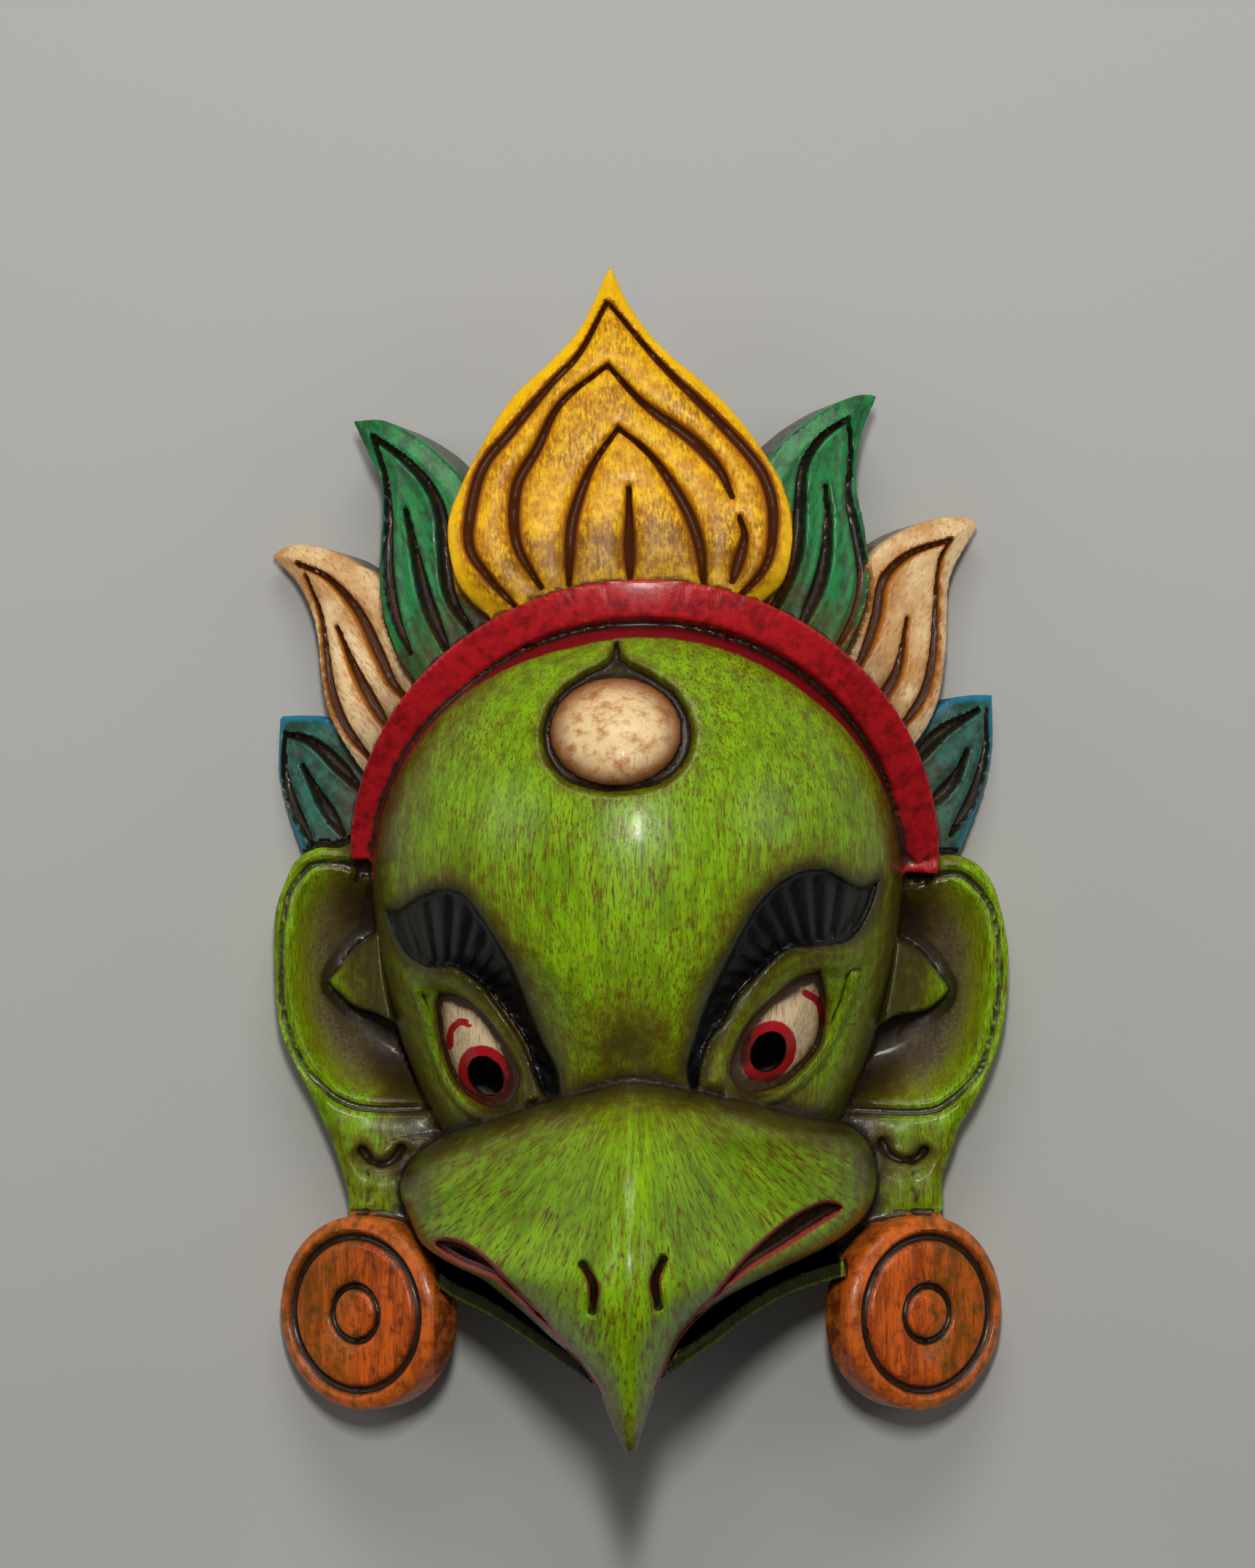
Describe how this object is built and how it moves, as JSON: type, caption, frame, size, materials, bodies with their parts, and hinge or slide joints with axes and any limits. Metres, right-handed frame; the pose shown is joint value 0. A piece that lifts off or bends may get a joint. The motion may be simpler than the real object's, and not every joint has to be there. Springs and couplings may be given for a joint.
{
  "type": "garuda mask",
  "caption": "Painted wooden bird-deity face mask with a hooked beak, leaf crown, brow band, large ears and ear discs, hollow behind.",
  "frame": {"origin": "on the back plane, under the middle of the mask's outline", "axes": "+X to the viewer's right, +Y up the face to the crown, +Z out of the face; the mask lies on its back"},
  "size_m": [0.173, 0.2678, 0.1119],
  "materials": {
    "painted_wood": "painted in green, gold, red, cream, teal and orange over carved wood, rubbed with brown, satin varnish"
  },
  "bodies": {
    "root": {"garuda_mask": "painted_wood"}
  },
  "joints": []
}
